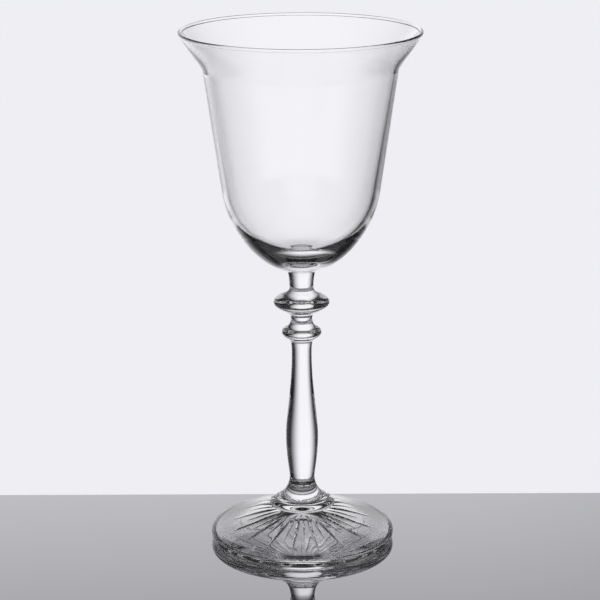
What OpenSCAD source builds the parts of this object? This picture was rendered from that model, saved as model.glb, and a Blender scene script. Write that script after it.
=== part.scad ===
// Stemmed cocktail glass: a blown bell bowl on a knopped stem, with a pressed foot.
// Six pieces of clear glass, each fused to the next on a flat round face.
// +Z is up, and the origin is the centre of the ring that the foot stands on.

/* [Bowl] */
// Height of the bowl, from its joint with the neck to the rim
bowl_h = 84.7; // [76:0.1:110]
// Outer diameter of the rim
rim_d = 83.8; // [72:0.2:102]
// Height of the flared lip, from the throat to the rim
lip_h = 13.8; // [9:0.2:20]
// Steepness of the lip at the rim, in degrees from level
lip_slope = 62; // [45:1:80]
// Outer diameter of the throat, where the lip begins to flare
throat_d = 67.2; // [60:0.2:76]
// Lean of the straight wall away from upright, in degrees
wall_lean = 8.1; // [5:0.1:11]
// Height of the round bottom, from the joint with the neck to where the straight wall begins
bottom_h = 28.8; // [25:0.1:35]
// Slope of the round bottom where it leaves the joint, in degrees
bottom_slope = 19.6; // [14:0.2:24]
// Thickness of the rounded rim
rim_t = 1.1; // [0.8:0.05:1.8]
// Thickness of the wall at the throat
throat_t = 1.25; // [0.8:0.05:2.2]
// Thickness of the wall where the round bottom begins
wall_t = 2.2; // [1.4:0.1:3.5]
// Thickness of the solid glass under the middle of the bowl's floor
base_t = 6.2; // [4.8:0.1:8.4]
// Diameter of the joint between the bowl and the neck
bowl_joint_d = 10.2; // [8.8:0.1:12.4]
// Width of the fillet of glass drawn out round that joint
bowl_fillet = 1.3; // [0.8:0.1:2.4]

/* [Neck] */
// Height of the neck
neck_h = 6.3; // [4.5:0.1:9]
// Diameter of the joint between the neck and the upper knop
neck_joint_d = 8.5; // [7:0.1:10.2]

/* [Upper knop] */
// Height of the upper knop
upper_knop_h = 11.1; // [9:0.1:14]
// Largest diameter of the upper knop
upper_knop_d = 19.8; // [14:0.1:25]
// Height of its largest diameter above its lower joint
upper_knop_girth_h = 5.7; // [4:0.1:7]
// Diameter of the joint between the two knops
waist_d = 7.6; // [6.4:0.1:9.6]

/* [Lower knop] */
// Height of the lower knop
lower_knop_h = 9.5; // [8:0.1:12.5]
// Largest diameter of the lower knop
lower_knop_d = 14.1; // [11:0.1:19]
// Height of its largest diameter above its lower joint
lower_knop_girth_h = 4.1; // [3:0.1:5.5]
// Diameter of the joint between the lower knop and the baluster
shank_joint_d = 7.5; // [6:0.1:9.4]

/* [Baluster] */
// Height of the baluster
baluster_h = 49.9; // [40:0.1:64]
// Diameter of the shank at its slimmest
shank_d = 7.1; // [5.6:0.1:8.6]
// Depth of the slimmest place below the top of the baluster
shank_drop = 3.5; // [2:0.1:6]
// Largest diameter of the swelling
swelling_d = 11.6; // [9.4:0.1:15]
// Height of the swelling above the bottom of the baluster
swelling_h = 15.7; // [12:0.1:24]
// Diameter of the joint between the baluster and the foot
foot_joint_d = 8.8; // [7.2:0.1:10.8]

/* [Foot] */
// Diameter of the foot
foot_d = 66; // [58:0.5:82]
// Height of the foot, with its pedestal
foot_h = 23.5; // [20:0.1:30]
// Diameter of the pedestal at the crease where it meets the sloping top of the foot
pedestal_d = 23.6; // [21:0.1:28]
// Height of that crease
pedestal_z = 13.2; // [12.5:0.1:15]
// Diameter of the pedestal above its rounded shoulder
shoulder_d = 19.3; // [15:0.1:20.5]
// Height of the rounded shoulder above the crease
shoulder_h = 3.1; // [2:0.1:4]
// Slope of the foot's top where it meets the pedestal, in degrees
top_slope = 31; // [24:0.5:36]
// Slope of the foot's top at its edge, in degrees
edge_slope = 16.7; // [12:0.1:20]
// Height of the top of the rounded edge
edge_h = 4; // [3.5:0.1:5]
// Width of the rounding on top of the edge
edge_w = 0.8; // [0.5:0.1:1.5]
// Height of the widest place of the edge above the table
edge_z = 2.7; // [1.8:0.1:3.2]
// Distance from the widest place in to the flat ring that the glass stands on
ring_inset = 1.6; // [1:0.1:3]
// Width of that ring
ring_w = 0.8; // [0.5:0.1:1.5]
// Height of the hollow under the foot, at its middle
hollow_h = 7.8; // [6.5:0.1:9]

/* [Star] */
// Number of long rays pressed into the hollow, each with a short ray after it
rays = 16; // [10:1:18]
// Radius of the tips of the long rays
long_ray_r = 24.2; // [21:0.1:25]
// Radius of the tips of the short rays
short_ray_r = 18.5; // [15:0.1:20]
// Radius where the rays begin
ray_start_r = 6.4; // [5.6:0.1:8]
// Length over which a ray opens out from where it begins
ray_opening = 3.6; // [2.5:0.1:5]
// Width of a long ray before it narrows to its tip
long_ray_w = 1.3; // [0.8:0.1:1.6]
// Width of a short ray before it narrows to its tip
short_ray_w = 0.8; // [0.5:0.1:1]
// Slope of the walls of a ray, in degrees
ray_wall = 45; // [30:1:55]
// Turn of the star about the upright axis, in degrees
star_turn = 13.9; // [0:0.1:45]

/* [Hidden] */
$fn = 96;

// Heights of the joints, from the table up
baluster_z = foot_h;
lower_knop_z = baluster_z + baluster_h;
upper_knop_z = lower_knop_z + lower_knop_h;
neck_z = upper_knop_z + upper_knop_h;
bowl_z = neck_z + neck_h;
rim_z = bowl_z + bowl_h;

// Steps along a long curve, a short one and a ray
long_steps = 28;
short_steps = 12;
ray_steps = 6;

// Pulls of the curves, each as a share of the height or width that its curve runs over
lip_bend = 0.19;
lip_sweep = 0.51;
fillet_turn = [0.2, 0.1];
fillet_run = 0.6;
fillet_rise = 0.3;
bottom_pulls = [0.417, 0.42];
floor_drop = 0.56;
floor_reach = 0.58;
flare_rise = 0.5;
flare_drop = 0.25;
upper_knop_low = [0.46, 0.33];
upper_knop_top = [0.5, 0.53];
lower_knop_low = [0.49, 0.37];
lower_knop_top = [0.43, 0.8];
baluster_base = [0.12, 0.54];
baluster_shank = [0.25, 0.43];
baluster_top = [0.38, 0.52];
edge_under = [0.62, 0.48];
edge_over = [0.5, 0.54];
shoulder_rise = 0.35;
shoulder_turn = [0.4, -0.27];
trumpet_sweep = [-0.69, 0.48];
trumpet_drop = 0.58;
hollow_crown = [0.163, 0.974];
hollow_skirt = [0.333, 0.487];

// How far a ray's cutter reaches past its walls, and how far its ends dip out of the glass
ray_skirt = 0.3;
ray_sink = 0.02;
glass_tint = [0.86, 0.89, 0.91];

function bezier(a, b, c, d, steps) = [
  for (i = [0:steps])
    let (t = i / steps, s = 1 - t)
      s * s * s * a + 3 * s * s * t * b + 3 * s * t * t * c + t * t * t * d
];

function arc(centre, r, from, to, steps) = [
  for (i = [0:steps])
    let (a = from + (to - from) * i / steps)
      centre + r * [cos(a), sin(a)]
];

// Curve between two places that runs upright at both ends
function swell(low, high, pulls, steps) =
  let (rise = high[1] - low[1])
    bezier(low, low + [0, pulls[0] * rise], high - [0, pulls[1] * rise], high, steps);

// Solid turned from an outline that starts and ends on the axis
module turned(outline) {
  color(glass_tint)
    rotate_extrude()
      polygon(outline);
}

module bowl() {
  joint = [bowl_joint_d / 2, bowl_z];
  wall_dir = [sin(wall_lean), cos(wall_lean)];
  throat = [throat_d / 2, rim_z - lip_h];
  wall_start = throat - wall_dir * (throat[1] - bowl_z - bottom_h) / wall_dir[1];
  bend = lip_h * lip_bend;
  sweep = lip_h * lip_sweep;

  lip_dir = [cos(lip_slope), sin(lip_slope)];
  lip_in = [-sin(lip_slope), cos(lip_slope)];
  rim_c = [(rim_d - rim_t) / 2, rim_z - rim_t / 2];
  rim_out = rim_c - lip_in * rim_t / 2;
  rim_in = rim_c + lip_in * rim_t / 2;

  // The round bottom runs from the fillet up to the straight wall
  bottom_dir = [cos(bottom_slope), sin(bottom_slope)];
  fillet_top = joint + bowl_fillet * [1, fillet_rise];
  fillet = bezier(joint, joint + bowl_fillet * fillet_turn, fillet_top - bottom_dir * bowl_fillet * fillet_run,
                  fillet_top, short_steps);
  bottom_out = bezier(fillet_top, fillet_top + bottom_dir * bottom_h * bottom_pulls[0],
                      wall_start - wall_dir * bottom_h * bottom_pulls[1], wall_start, long_steps);
  lip_out = bezier(throat, throat + wall_dir * bend, rim_out - lip_dir * sweep, rim_out, long_steps);
  rim = arc(rim_c, rim_t / 2, lip_slope - 90, lip_slope + 90, short_steps);

  throat_in = throat - [throat_t, 0];
  lip_inner = bezier(rim_in, rim_in - lip_dir * sweep, throat_in + wall_dir * (bend + throat_t / 2), throat_in,
                     long_steps);
  wall_in = wall_start - [wall_t, 0];
  fall = (throat_in - wall_in) / norm(throat_in - wall_in);
  floor_z = bowl_z + base_t;
  drop = (wall_in[1] - floor_z) * floor_drop;
  floor_in = bezier(wall_in, wall_in - fall * drop, [wall_in[0] * floor_reach, floor_z], [0, floor_z], long_steps);

  turned(concat([[0, bowl_z]], fillet, bottom_out, lip_out, rim, lip_inner, floor_in));
}

module neck() {
  top_r = bowl_joint_d / 2;
  low_r = neck_joint_d / 2;
  flare = bezier([low_r, neck_z], [low_r, neck_z + neck_h * flare_rise],
                 [(low_r + top_r) / 2, bowl_z - neck_h * flare_drop], [top_r, bowl_z], short_steps);
  turned(concat([[0, neck_z]], flare, [[0, bowl_z]]));
}

// Cushion of glass between two joints
module knop(z, h, low_d, girth_d, girth_h, top_d, low_pulls, top_pulls) {
  girth = [girth_d / 2, z + girth_h];
  low = swell([low_d / 2, z], girth, low_pulls, short_steps);
  top = swell(girth, [top_d / 2, z + h], top_pulls, short_steps);
  turned(concat([[0, z]], low, top, [[0, z + h]]));
}

module upper_knop() {
  knop(upper_knop_z, upper_knop_h, waist_d, upper_knop_d, upper_knop_girth_h, neck_joint_d, upper_knop_low,
       upper_knop_top);
}

module lower_knop() {
  knop(lower_knop_z, lower_knop_h, shank_joint_d, lower_knop_d, lower_knop_girth_h, waist_d, lower_knop_low,
       lower_knop_top);
}

module baluster() {
  swelling = [swelling_d / 2, baluster_z + swelling_h];
  slim = [shank_d / 2, lower_knop_z - shank_drop];
  base = swell([foot_joint_d / 2, baluster_z], swelling, baluster_base, short_steps);
  shank = swell(swelling, slim, baluster_shank, long_steps);
  top = bezier(slim, slim + [0, shank_drop * baluster_top[0]], slim + [0, shank_drop * baluster_top[1]],
               [shank_joint_d / 2, lower_knop_z], short_steps);
  turned(concat([[0, baluster_z]], base, shank, top, [[0, lower_knop_z]]));
}

// Outline of the bell-shaped hollow under the foot, from the axis out to the ring
ring_r = foot_d / 2 - ring_inset;
hollow_r = ring_r - ring_w;
hollow = bezier([0, hollow_h], [hollow_crown[0] * hollow_r, hollow_crown[1] * hollow_h],
                [hollow_skirt[0] * hollow_r, hollow_skirt[1] * hollow_h], [hollow_r, 0], long_steps);

module foot() {
  color(glass_tint)
    difference() {
      foot_blank();
      star();
    }
}

// Foot with a plain hollow under it
module foot_blank() {
  widest = [foot_d / 2, edge_z];
  lip = [foot_d / 2 - edge_w, edge_h];
  crease = [pedestal_d / 2, pedestal_z];
  third = (lip[0] - crease[0]) / 3;
  top_fall = [1, -tan(top_slope)];
  edge_fall = [1, -tan(edge_slope)];
  under = bezier([ring_r, 0], [ring_r + ring_inset * edge_under[0], 0], [widest[0], edge_z * edge_under[1]], widest,
                 short_steps);
  over = bezier(widest, widest + [0, (edge_h - edge_z) * edge_over[1]], lip + edge_fall * edge_w * edge_over[0], lip,
                short_steps);
  top = bezier(lip, lip - edge_fall * third, crease + top_fall * third, crease, long_steps);

  shoulder = [shoulder_d / 2, pedestal_z + shoulder_h];
  round_over = bezier(crease, crease + [0, shoulder_h * shoulder_rise], shoulder + shoulder_h * shoulder_turn,
                      shoulder, short_steps);
  joint_r = foot_joint_d / 2;
  trumpet = bezier(shoulder, shoulder + shoulder_h * trumpet_sweep,
                   [joint_r, foot_h - (foot_h - shoulder[1]) * trumpet_drop], [joint_r, foot_h], long_steps);

  rotate_extrude()
    polygon(concat(hollow, under, over, top, round_over, trumpet, [[0, foot_h]]));
}

// Cutters for the star: long rays with short ones between them
module star() {
  pitch = 360 / rays;
  for (i = [0:rays - 1])
    rotate(star_turn + i * pitch) {
      ray(long_ray_r, long_ray_w);
      rotate(pitch / 2)
        ray(short_ray_r, short_ray_w);
    }
}

// Half the width of a ray at a radius: it opens out from its beginning and narrows to its tip
function ray_half(r, tip_r, width) =
  let (share = (tip_r - r) / (tip_r - ray_start_r))
    width / 2 * share * (2 - share) * min(1, (r - ray_start_r) / ray_opening);

// Section of a ray's cutter at a radius: a ridge, then the lower end of either wall
function ray_section(r, tip_r, width) =
  let (
    half = ray_half(r, tip_r, width),
    ridge_z = lookup(r, hollow) + half * tan(ray_wall) - ray_sink,
    reach = half + ray_skirt,
    low_z = ridge_z - reach * tan(ray_wall)
  )
    [[r, 0, ridge_z], [r, reach, low_z], [r, -reach, low_z]];

// Places of a section's three points in the list of all the points of a ray
function ridge(k) = 3 * k;
function left(k) = ridge(k) + 1;
function right(k) = ridge(k) + 2;

// Cutter for one ray: a V that follows the hollow, from its tip in to where it begins
module ray(tip_r, width) {
  stations = [for (k = [0:ray_steps]) tip_r + (ray_start_r - tip_r) * k / ray_steps];
  points = [for (r = stations) each ray_section(r, tip_r, width)];
  sides = [
    for (k = [0:ray_steps - 1])
      let (n = k + 1)
        each [
          [ridge(k), ridge(n), left(n)],
          [ridge(k), left(n), left(k)],
          [ridge(n), ridge(k), right(k)],
          [ridge(n), right(k), right(n)],
          [right(k), left(k), left(n)],
          [right(k), left(n), right(n)]
        ]
  ];
  tip = [ridge(0), left(0), right(0)];
  end = [ridge(ray_steps), right(ray_steps), left(ray_steps)];
  polyhedron(points, concat([tip], sides, [end]));
}

bowl();
neck();
upper_knop();
lower_knop();
baluster();
foot();
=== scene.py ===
"""Stemmed cocktail glass in clear glass: a blown bell bowl on a knopped stem, with a pressed foot that has a
rayed star under it. It stands on a glossy pale table in soft studio light.

Sizes are in millimetres until a mesh is made."""

import math

import bpy
from mathutils import Matrix, Vector


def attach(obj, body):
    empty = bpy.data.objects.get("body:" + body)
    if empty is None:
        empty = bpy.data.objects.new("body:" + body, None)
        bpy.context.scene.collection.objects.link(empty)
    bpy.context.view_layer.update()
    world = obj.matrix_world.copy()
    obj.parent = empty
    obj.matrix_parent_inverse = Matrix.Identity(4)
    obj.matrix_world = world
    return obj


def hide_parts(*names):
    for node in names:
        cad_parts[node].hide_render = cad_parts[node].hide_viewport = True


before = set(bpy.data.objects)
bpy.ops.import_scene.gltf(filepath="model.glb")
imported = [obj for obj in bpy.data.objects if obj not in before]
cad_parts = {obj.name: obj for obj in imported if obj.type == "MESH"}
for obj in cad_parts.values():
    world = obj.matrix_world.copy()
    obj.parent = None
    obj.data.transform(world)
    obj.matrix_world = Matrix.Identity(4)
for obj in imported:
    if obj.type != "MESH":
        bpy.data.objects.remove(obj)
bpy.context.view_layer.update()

MM = 0.001

# Heights of the fused joints, from the table up, and the radius of each joint
FOOT_JOINT_Z, FOOT_JOINT_R = 23.5, 4.5
SHANK_JOINT_Z, SHANK_JOINT_R = 73.4, 3.75
WAIST_Z, WAIST_R = 82.9, 3.8
NECK_JOINT_Z, NECK_JOINT_R = 94.0, 4.25
BOWL_JOINT_Z, BOWL_JOINT_R = 100.3, 5.1
RIM_Z = 185.0

# The star under the foot: long rays with short ones between them, inside the ring that the foot stands on
RAYS = 16
STAR_TURN = 13.9
LONG_RAY_TIP, SHORT_RAY_TIP = 24.2, 18.5
RAY_START, RAY_RUN_OUT = 6.4, 3.6
LONG_RAY_HALF, SHORT_RAY_HALF = 0.65, 0.4
RAY_STEEPNESS = 0.75
RING_OUT, RING_IN = 31.4, 30.6

# How finely the meshes are divided
BOWL_COUNT, STEM_COUNT = 224, 160
HOLLOW_EYE, HOLLOW_CIRCLES = 0.6, 84
CREASE_ANGLE = math.radians(50)

# The photograph is taken as 600 pixels square. The viewing side is the one whose far side is the lit backdrop.
PICTURE = 600
FOCAL_PIXELS = 2083.88
CAMERA_OUT, CAMERA_UP = 707.326, 292.77
CAMERA_PITCH = 0.280149
CAMERA_ROLL = -0.0037
CAMERA_SIDE = math.radians(225)
SHIFT_PIXELS = -1.5


def linear(hex_colour):
    """An sRGB hex colour as linear red, green, blue and alpha."""
    parts = [int(hex_colour[i:i + 2], 16) / 255 for i in (1, 3, 5)]
    return tuple(c / 12.92 if c <= 0.04045 else ((c + 0.055) / 1.055) ** 2.4 for c in parts) + (1.0,)


def bezier(a, b, c, d, steps):
    curve = []
    for i in range(steps + 1):
        t = i / steps
        s = 1 - t
        weights = (s ** 3, 3 * s * s * t, 3 * s * t * t, t ** 3)
        curve.append(tuple(sum(w * p[k] for w, p in zip(weights, (a, b, c, d))) for k in (0, 1)))
    return curve


def arc(centre, radius, start, end, steps):
    angles = [math.radians(start + (end - start) * i / steps) for i in range(steps + 1)]
    return [(centre[0] + radius * math.cos(a), centre[1] + radius * math.sin(a)) for a in angles]


def swell(low, high, pull_low, pull_high, steps):
    """A curve between two radii that runs upright at both ends."""
    rise = high[1] - low[1]
    return bezier(low, (low[0], low[1] + pull_low * rise), (high[0], high[1] - pull_high * rise), high, steps)


def along(point, direction, distance):
    return (point[0] + direction[0] * distance, point[1] + direction[1] * distance)


def between_ends(start, end, steps):
    """The points that divide a straight line, without its two ends."""
    line = (end[0] - start[0], end[1] - start[1])
    return [along(start, line, i / steps) for i in range(1, steps)]


# Outlines, as radius and height, from the lower end on the axis round the outside to the upper end


def bowl_outline():
    """The bell, from its joint up the outside, over the beaded rim and down the inside to its floor."""
    lip_degrees = 62
    lean, lip_slope, bottom_slope = math.radians(8.1), math.radians(lip_degrees), math.radians(19.6)
    bead_r, lip_t, throat_t, wall_t, base_t = 0.6, 0.88, 1.25, 2.2, 6.2
    rim_r, throat_r, lip_h, bottom_h, fillet_w = 41.9, 33.6, 13.8, 28.8, 1.3
    lip_bend, lip_sweep, bottom_pull, wall_pull = 2.6, 7.0, 12.0, 12.1
    floor_drop, floor_reach = 0.56, 0.58
    floor_z = BOWL_JOINT_Z + base_t
    up_wall = (math.sin(lean), math.cos(lean))
    up_lip = (math.cos(lip_slope), math.sin(lip_slope))
    across_lip = (-math.sin(lip_slope), math.cos(lip_slope))
    up_bottom = (math.cos(bottom_slope), math.sin(bottom_slope))

    throat = (throat_r, RIM_Z - lip_h)
    wall_start = along(throat, up_wall, (BOWL_JOINT_Z + bottom_h - throat[1]) / up_wall[1])
    bead_c = (rim_r - bead_r, RIM_Z - bead_r)
    tuck = math.asin(lip_t / 2 / bead_r)
    under_bead = along(bead_c, up_lip, -bead_r * math.cos(tuck))
    rim_out, rim_in = along(under_bead, across_lip, -lip_t / 2), along(under_bead, across_lip, lip_t / 2)

    joint = (BOWL_JOINT_R, BOWL_JOINT_Z)
    fillet_top = (joint[0] + fillet_w, joint[1] + 0.3 * fillet_w)
    fillet = bezier(joint, (joint[0] + 0.2 * fillet_w, joint[1] + 0.1 * fillet_w),
                    along(fillet_top, up_bottom, -0.6 * fillet_w), fillet_top, 14)
    bottom = bezier(fillet_top, along(fillet_top, up_bottom, bottom_pull),
                    along(wall_start, up_wall, -wall_pull), wall_start, 70)
    wall = between_ends(wall_start, throat, 16)
    lip = bezier(throat, along(throat, up_wall, lip_bend), along(rim_out, up_lip, -lip_sweep), rim_out, 40)
    rim = arc(bead_c, bead_r, lip_degrees - 180 + math.degrees(tuck), lip_degrees + 180 - math.degrees(tuck), 36)

    throat_in = (throat[0] - throat_t, throat[1])
    lip_in = bezier(rim_in, along(rim_in, up_lip, -lip_sweep),
                    along(throat_in, up_wall, lip_bend + throat_t / 2), throat_in, 40)
    wall_in = (wall_start[0] - wall_t, wall_start[1])
    inner = between_ends(throat_in, wall_in, 16)
    fall = Vector((wall_in[0] - throat_in[0], wall_in[1] - throat_in[1])).normalized()
    floor = bezier(wall_in, along(wall_in, fall, (wall_in[1] - floor_z) * floor_drop),
                   (wall_in[0] * floor_reach, floor_z), (0, floor_z), 60)
    return [(0, BOWL_JOINT_Z)] + fillet + bottom[1:] + wall + lip + rim[1:-1] + lip_in + inner + floor


def neck_outline():
    low, high = (NECK_JOINT_R, NECK_JOINT_Z), (BOWL_JOINT_R, BOWL_JOINT_Z)
    pull_low, pull_high, widening = 0.5, 0.15, 0.4
    rise = high[1] - low[1]
    flare = bezier(low, (low[0], low[1] + pull_low * rise),
                   (low[0] + widening, high[1] - pull_high * rise), high, 24)
    return [(0, NECK_JOINT_Z)] + flare + [(0, BOWL_JOINT_Z)]


def upper_knop_outline():
    girth = (9.9, WAIST_Z + 5.7)
    lower = swell((WAIST_R, WAIST_Z), girth, 0.46, 0.33, 26)
    upper = swell(girth, (NECK_JOINT_R, NECK_JOINT_Z), 0.50, 0.53, 26)
    return [(0, WAIST_Z)] + lower + upper[1:] + [(0, NECK_JOINT_Z)]


def lower_knop_outline():
    girth = (7.05, SHANK_JOINT_Z + 4.1)
    lower = swell((SHANK_JOINT_R, SHANK_JOINT_Z), girth, 0.49, 0.37, 24)
    upper = swell(girth, (WAIST_R, WAIST_Z), 0.43, 0.80, 24)
    return [(0, SHANK_JOINT_Z)] + lower + upper[1:] + [(0, WAIST_Z)]


def baluster_outline():
    swelling = (5.8, FOOT_JOINT_Z + 15.7)
    slim = (3.55, SHANK_JOINT_Z - 3.5)
    base = swell((FOOT_JOINT_R, FOOT_JOINT_Z), swelling, 0.12, 0.54, 30)
    shank = swell(swelling, slim, 0.25, 0.43, 50)
    top = bezier(slim, (slim[0], slim[1] + 1.33), (slim[0], slim[1] + 1.82), (SHANK_JOINT_R, SHANK_JOINT_Z), 10)
    return [(0, FOOT_JOINT_Z)] + base + shank[1:] + top[1:] + [(0, SHANK_JOINT_Z)]


def foot_outline():
    """The foot from its standing ring up to the joint with the baluster."""
    crease, lip, widest, shoulder = (11.8, 13.2), (32.2, 4.0), (33.0, 2.7), (8.96, 15.67)
    third = (lip[0] - crease[0]) / 3
    under = bezier((RING_OUT, 0), (32.4, 0), (widest[0], 1.3), widest, 18)
    edge = bezier(widest, (widest[0], 3.4), along(lip, (1, -0.3), 0.4), lip, 12)
    top = bezier(lip, along(lip, (-1, 0.3), third), along(crease, (1, -0.6), third), crease, 60)
    round_over = bezier(crease, (crease[0], 14.21), (10.1, 14.71), shoulder, 16)
    trumpet = bezier(shoulder, (6.73, 17.08), (FOOT_JOINT_R, 19.32), (FOOT_JOINT_R, FOOT_JOINT_Z), 36)
    return under + edge[1:] + top[1:] + round_over[1:] + trumpet[1:] + [(0, FOOT_JOINT_Z)]


HOLLOW = bezier((RING_IN, 0), (10.2, 3.8), (5.0, 7.6), (0, 7.8), 400)


def hollow_z(radius):
    """Height of the bell-shaped hollow under the foot."""
    for (r0, z0), (r1, z1) in zip(HOLLOW, HOLLOW[1:]):
        if r0 >= radius >= r1:
            return z0 + (z1 - z0) * (radius - r0) / (r1 - r0)
    return 0.0


# Meshes


def circle(radius, z, count):
    if radius == 0:
        return [(0, 0, z)]
    angles = [2 * math.pi * i / count for i in range(count)]
    return [(radius * math.cos(a), radius * math.sin(a), z) for a in angles]


# Across half a ray, as a share of its half width, and how deep the rounded groove is there, as a share of its depth
GROOVE = ((0.0, 0.93), (0.25, 0.75), (0.5, 0.5), (0.75, 0.25), (1.0, 0.04), (1.3, 0.0))
GROOVE_REACH = GROOVE[-1][0]
PLAIN_STEPS = 4
# Where a ray has run out, its points still keep this share of the room between rays
LEAST_SHARE = 0.05


def ray_half(radius, tip, widest):
    """Half the width of a ray: it comes to a point at its tip, and its inner end runs out to nothing too."""
    share = min(max((tip - radius) / (tip - RAY_START), 0), 1)
    run_out = min(max((radius - RAY_START) / RAY_RUN_OUT, 0), 1)
    return widest * share * (2 - share) * run_out


def star_circle(radius):
    """One circle of the hollow: its points crowd on to the rays, so that every ray keeps its edges."""
    half_step = math.pi / RAYS
    least = LEAST_SHARE * (radius * half_step / GROOVE_REACH)
    long_half = ray_half(radius, LONG_RAY_TIP, LONG_RAY_HALF)
    short_half = ray_half(radius, SHORT_RAY_TIP, SHORT_RAY_HALF)
    long_depth, short_depth = RAY_STEEPNESS * long_half, RAY_STEEPNESS * short_half
    long_half, short_half = max(long_half, least), max(short_half, least)
    out = [(q * long_half, d * long_depth) for q, d in GROOVE]
    back = [(radius * half_step - q * short_half, d * short_depth) for q, d in reversed(GROOVE)]
    start, end = out[-1][0], back[0][0]
    plain = [(start + (end - start) * i / PLAIN_STEPS, 0.0) for i in range(1, PLAIN_STEPS)]
    half = out + plain + back
    whole = half[:-1] + [(2 * radius * half_step - s, d) for s, d in reversed(half[1:])]
    base = hollow_z(radius)
    points = []
    for i in range(RAYS):
        for s, depth in whole:
            a = math.radians(STAR_TURN) + 2 * half_step * i + s / radius
            points.append((radius * math.cos(a), radius * math.sin(a), base + depth))
    return points


def glass_piece(name, circles, joints, glass, node):
    """A closed solid skinned over circles of points. The flat faces in joints are where two pieces are fused."""
    points, first = [], []
    for ring in circles:
        first.append(len(points))
        points += [(x * MM, y * MM, z * MM) for x, y, z in ring]
    faces, fused = [], []
    for i, (low, high) in enumerate(zip(circles, circles[1:])):
        count = max(len(low), len(high))
        for k in range(count):
            n = (k + 1) % count
            if len(low) == 1:
                face = (first[i], first[i + 1] + n, first[i + 1] + k)
            elif len(high) == 1:
                face = (first[i] + k, first[i] + n, first[i + 1])
            else:
                face = (first[i] + k, first[i] + n, first[i + 1] + n, first[i + 1] + k)
            faces.append(face)
            fused.append(i in joints)
    mesh = bpy.data.meshes.new(name)
    mesh.from_pydata(points, [], faces)
    mesh.materials.append(glass)
    mesh.materials.append(fused_joint)
    mesh.polygons.foreach_set("material_index", [int(f) for f in fused])
    mesh.polygons.foreach_set("use_smooth", [True] * len(faces))
    mesh.set_sharp_from_angle(angle=CREASE_ANGLE)
    piece = bpy.data.objects.new(name, mesh)
    bpy.context.scene.collection.objects.link(piece)
    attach(piece, "root")
    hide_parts(node)


# Materials


def add(tree, kind, settings=None, **links):
    """A node with its settings, and its inputs linked or set, by name or by number such as i0."""
    node = tree.nodes.new(kind)
    for key, value in (settings or {}).items():
        setattr(node, key, value)
    for key, value in links.items():
        numbered = key[0] == "i" and key[1:].isdigit()
        socket = node.inputs[int(key[1:]) if numbered else key.replace("_", " ")]
        if isinstance(value, bpy.types.NodeSocket):
            tree.links.new(value, socket)
        else:
            socket.default_value = value
    return node


def new_material(name):
    material = bpy.data.materials.new(name)
    material.use_nodes = True
    material.node_tree.nodes.clear()
    return material, material.node_tree


HAZE_PATCH_MM = 18


def clear_glass(name, wave_mm, wave_height_mm, ripple_mm, ripple_height_mm, haze):
    """Clear glass whose surface waves a little, as cooling leaves it, with faint patches of handling haze."""
    material, tree = new_material(name)
    place = add(tree, "ShaderNodeTexCoord").outputs["Object"]
    wave = add(tree, "ShaderNodeTexNoise", Vector=place, Scale=1 / (wave_mm * MM), Detail=1.0)
    ripple = add(tree, "ShaderNodeTexNoise", Vector=place, Scale=1 / (ripple_mm * MM), Detail=2.0)
    waved = add(tree, "ShaderNodeBump", Distance=wave_height_mm * MM, Height=wave.outputs["Fac"])
    rippled = add(tree, "ShaderNodeBump", Distance=ripple_height_mm * MM, Height=ripple.outputs["Fac"],
                  Normal=waved.outputs["Normal"])
    patches = add(tree, "ShaderNodeTexNoise", Vector=place, Scale=1 / (HAZE_PATCH_MM * MM), Detail=3.0)
    rough = add(tree, "ShaderNodeMapRange", Value=patches.outputs["Fac"], From_Min=0.45, From_Max=0.75,
                To_Min=0.0, To_Max=haze)
    shader = add(tree, "ShaderNodeBsdfPrincipled", Base_Color=linear("#FEFEFF"), IOR=1.52,
                 Transmission_Weight=1.0, Roughness=rough.outputs["Result"], Normal=rippled.outputs["Normal"])
    add(tree, "ShaderNodeOutputMaterial", Surface=shader.outputs[0])
    return material


# Soda-lime glass blown into a bowl and fire-polished: clear to the eye, with long slow waves in the wall
blown_glass = clear_glass("blown soda-lime glass", wave_mm=16, wave_height_mm=0.006,
                          ripple_mm=5, ripple_height_mm=0.0003, haze=0.004)
# Soda-lime glass pressed in an iron mould and fire-polished: bright, with shorter waves and a fine chill ripple
pressed_glass = clear_glass("pressed soda-lime glass", wave_mm=9, wave_height_mm=0.004,
                            ripple_mm=2.5, ripple_height_mm=0.0002, haze=0.004)

# The face where two pieces of glass are fused, which light passes as if it weren't there
fused_joint, fused_tree = new_material("fused glass joint")
add(fused_tree, "ShaderNodeOutputMaterial", Surface=add(fused_tree, "ShaderNodeBsdfTransparent").outputs[0])


# Pieces


def turned(node, outline, count, joints, glass):
    """A piece that is round about its axis."""
    circles = [circle(r, z, count) for r, z in outline]
    glass_piece(node + "_glass", circles, joints, glass, node)


turned("bowl", bowl_outline(), BOWL_COUNT, {0}, blown_glass)
for node, outline in (("neck", neck_outline()), ("upper_knop", upper_knop_outline()),
                      ("lower_knop", lower_knop_outline()), ("baluster", baluster_outline())):
    turned(node, outline, STEM_COUNT, {0, len(outline) - 2}, pressed_glass)

star = [star_circle(HOLLOW_EYE + (RING_IN - HOLLOW_EYE) * i / HOLLOW_CIRCLES) for i in range(HOLLOW_CIRCLES + 1)]
foot_circles = [[(0, 0, hollow_z(0))]] + star + [circle(r, z, len(star[0])) for r, z in foot_outline()]
glass_piece("foot_glass", foot_circles, {len(foot_circles) - 2}, pressed_glass, "foot")

# Table, backdrop and light

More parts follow.
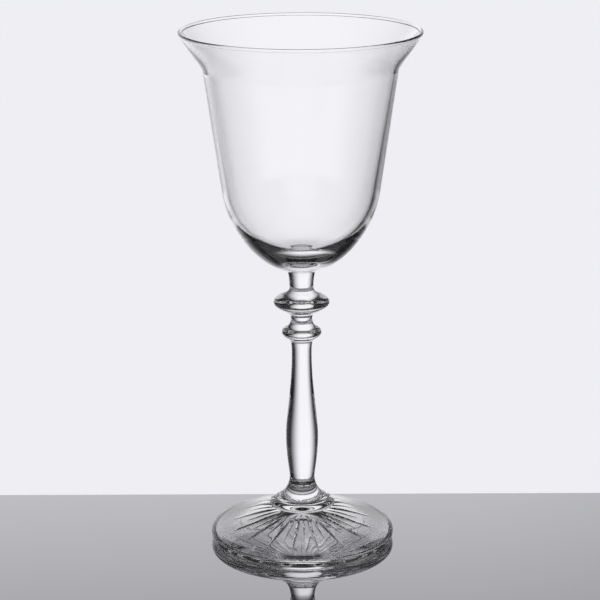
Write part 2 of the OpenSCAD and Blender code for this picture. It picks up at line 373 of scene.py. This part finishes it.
SMOOTH = {"interpolation_type": "SMOOTHSTEP"}
MULTIPLY, LARGER = {"operation": "MULTIPLY"}, {"operation": "MAXIMUM"}
NUMBERS, COLOURS = {"data_type": "FLOAT"}, {"data_type": "RGBA"}
TABLE_R, TABLE_SIDES, TABLE_GAP = 700, 96, 0.02
EDGE_NEAR, EDGE_FAR = 40.6, 41.4
FADE_NEAR, FADE_FAR = 350, 650
FRONT_LEVEL, TALL_LEVEL, CEILING_LEVEL = 0.85, 0.6, 0.5
look = CAMERA_SIDE + math.pi / 2
ahead = Vector((math.cos(look), math.sin(look), 0))

table_mesh = bpy.data.meshes.new("table")
table_mesh.from_pydata([(x * MM, y * MM, z * MM) for x, y, z in circle(TABLE_R, -TABLE_GAP, TABLE_SIDES)], [],
                       [list(range(TABLE_SIDES))])
table = bpy.data.objects.new("table", table_mesh)
bpy.context.scene.collection.objects.link(table)

# Pale lacquered table: a hard gloss over grey. It ends a little behind the glass, and fades out far round it.
lacquer, tree = new_material("grey lacquered table")
place = add(tree, "ShaderNodeTexCoord").outputs["Object"]
behind = add(tree, "ShaderNodeVectorMath", {"operation": "DOT_PRODUCT"}, i0=place, i1=ahead)
out = add(tree, "ShaderNodeVectorMath", {"operation": "LENGTH"}, i0=place)
edge = add(tree, "ShaderNodeMapRange", SMOOTH, Value=behind.outputs["Value"],
           From_Min=EDGE_NEAR * MM, From_Max=EDGE_FAR * MM)
far = add(tree, "ShaderNodeMapRange", SMOOTH, Value=out.outputs["Value"],
          From_Min=FADE_NEAR * MM, From_Max=FADE_FAR * MM)
ended = add(tree, "ShaderNodeMath", LARGER, i0=edge.outputs[0], i1=far.outputs[0])
gloss = add(tree, "ShaderNodeBsdfGlossy", Color=linear("#E7E7E9"), Roughness=0.01)
paint = add(tree, "ShaderNodeBsdfDiffuse", Color=linear("#A8A8AC"))
painted = add(tree, "ShaderNodeMixShader", i0=0.1, i1=gloss.outputs[0], i2=paint.outputs[0])
clear = add(tree, "ShaderNodeBsdfTransparent")
table_top = add(tree, "ShaderNodeMixShader", i0=ended.outputs[0], i1=painted.outputs[0], i2=clear.outputs[0])
add(tree, "ShaderNodeOutputMaterial", Surface=table_top.outputs[0])
table_mesh.materials.append(lacquer)

# Bright-field light, as glass is photographed: a lit backdrop behind the glass, with dark sides and a dark ceiling
# that give clear glass its dark edges. Light that was last reflected, as on the table, also finds a tall wall on the
# camera's side and a lit ceiling, so that the table is pale from all round.
world = bpy.data.worlds.new("studio")
bpy.context.scene.world = world
world.use_nodes = True
tree = world.node_tree
tree.nodes.clear()
ray = add(tree, "ShaderNodeLightPath")
refracted = ray.outputs["Is Transmission Ray"]

# Turn from the middle of the backdrop, positive to the left in the picture, and height above level, in degrees
direction = add(tree, "ShaderNodeSeparateXYZ", Vector=add(tree, "ShaderNodeTexCoord").outputs["Generated"])
angle = add(tree, "ShaderNodeMath", {"operation": "ARCTAN2"}, i0=direction.outputs["Y"], i1=direction.outputs["X"])
middle = math.atan2(ahead.y, ahead.x)
apart = add(tree, "ShaderNodeMath", {"operation": "SUBTRACT"}, i0=angle.outputs[0], i1=middle)
wrapped = add(tree, "ShaderNodeMath", {"operation": "WRAP"}, i0=apart.outputs[0], i1=math.pi, i2=-math.pi)
turn = add(tree, "ShaderNodeMath", {"operation": "DEGREES"}, i0=wrapped.outputs[0]).outputs[0]
either_side = add(tree, "ShaderNodeMath", {"operation": "ABSOLUTE"}, i0=turn).outputs[0]
rise = add(tree, "ShaderNodeMath", {"operation": "ARCSINE"}, i0=direction.outputs["Z"])
height = add(tree, "ShaderNodeMath", {"operation": "DEGREES"}, i0=rise.outputs[0]).outputs[0]

# The backdrop, with soft ends
left_end = add(tree, "ShaderNodeMapRange", SMOOTH, Value=turn, From_Min=53, From_Max=18)
right_end = add(tree, "ShaderNodeMapRange", SMOOTH, Value=turn, From_Min=-40, From_Max=-2)
top_end = add(tree, "ShaderNodeMapRange", SMOOTH, Value=height, From_Min=38, From_Max=12)
low_end = add(tree, "ShaderNodeMapRange", SMOOTH, Value=height, From_Min=-54, From_Max=-32)
between = add(tree, "ShaderNodeMath", MULTIPLY, i0=left_end.outputs[0], i1=right_end.outputs[0])
upright = add(tree, "ShaderNodeMath", MULTIPLY, i0=low_end.outputs[0], i1=top_end.outputs[0])
backdrop = add(tree, "ShaderNodeMath", MULTIPLY, i0=between.outputs[0], i1=upright.outputs[0])

# The wall on the camera's side, low for refracted light, and a window in it straight opposite the backdrop
wall_end = add(tree, "ShaderNodeMapRange", SMOOTH, Value=either_side, From_Min=85, From_Max=140)
wall_low = add(tree, "ShaderNodeMapRange", SMOOTH, Value=height, From_Min=12, From_Max=2, To_Max=FRONT_LEVEL)
wall_tall = add(tree, "ShaderNodeMapRange", SMOOTH, Value=height, From_Min=85, From_Max=15, To_Max=TALL_LEVEL)
wall_top = add(tree, "ShaderNodeMix", NUMBERS, i0=refracted, i2=wall_tall.outputs[0], i3=wall_low.outputs[0])
wall = add(tree, "ShaderNodeMath", MULTIPLY, i0=wall_end.outputs[0], i1=wall_top.outputs[0])
window_end = add(tree, "ShaderNodeMapRange", SMOOTH, Value=either_side, From_Min=140, From_Max=166)
window_top = add(tree, "ShaderNodeMapRange", SMOOTH, Value=height, From_Min=60, From_Max=22, To_Max=TALL_LEVEL)
window = add(tree, "ShaderNodeMath", MULTIPLY, i0=window_end.outputs[0], i1=window_top.outputs[0])
in_front = add(tree, "ShaderNodeMath", LARGER, i0=wall.outputs[0], i1=window.outputs[0])

# The ceiling, lit for reflected light only, and the ground far below the table
ceiling = add(tree, "ShaderNodeMapRange", SMOOTH, Value=height, From_Min=35, From_Max=65, To_Max=CEILING_LEVEL)
overhead = add(tree, "ShaderNodeMix", NUMBERS, i0=refracted, i2=ceiling.outputs[0], i3=0.0)
ground = add(tree, "ShaderNodeMapRange", SMOOTH, Value=height, From_Min=-54, From_Max=-66, To_Max=FRONT_LEVEL)
level = add(tree, "ShaderNodeMath", LARGER, i0=overhead.outputs[0], i1=ground.outputs[0])

upstanding = add(tree, "ShaderNodeMath", LARGER, i0=backdrop.outputs[0], i1=in_front.outputs[0])
lit = add(tree, "ShaderNodeMath", LARGER, i0=upstanding.outputs[0], i1=level.outputs[0])
studio = add(tree, "ShaderNodeMix", COLOURS, i0=lit.outputs[0], i6=linear("#1A1A1C"), i7=linear("#FCFCFF"))
shown = add(tree, "ShaderNodeMix", COLOURS, i0=ray.outputs["Is Camera Ray"], i6=studio.outputs[2],
            i7=linear("#EEEEF3"))
light = add(tree, "ShaderNodeBackground", Color=shown.outputs[2])
add(tree, "ShaderNodeOutputWorld", Surface=light.outputs[0])

# Camera where the photograph was taken from, with the photograph's small tilt
camera = bpy.data.cameras.new("camera")
camera.sensor_width = 36
camera.lens = camera.sensor_width * FOCAL_PIXELS / PICTURE
camera.shift_x = SHIFT_PIXELS / PICTURE
viewer = bpy.data.objects.new("camera", camera)
stand = (math.sin(CAMERA_SIDE) * CAMERA_OUT * MM, -math.cos(CAMERA_SIDE) * CAMERA_OUT * MM, CAMERA_UP * MM)
viewer.matrix_world = (
    Matrix.Translation(stand)
    @ Matrix.Rotation(CAMERA_SIDE, 4, "Z")
    @ Matrix.Rotation(math.pi / 2 - CAMERA_PITCH, 4, "X")
    @ Matrix.Rotation(CAMERA_ROLL, 4, "Z"))
bpy.context.scene.collection.objects.link(viewer)
scene = bpy.context.scene
scene.camera = viewer
scene.view_settings.view_transform = "Standard"
# Light crosses many faces inside thick glass before it leaves it
scene.cycles.max_bounces = 32
scene.cycles.glossy_bounces = 24
scene.cycles.transmission_bounces = 24
scene.cycles.transparent_max_bounces = 24
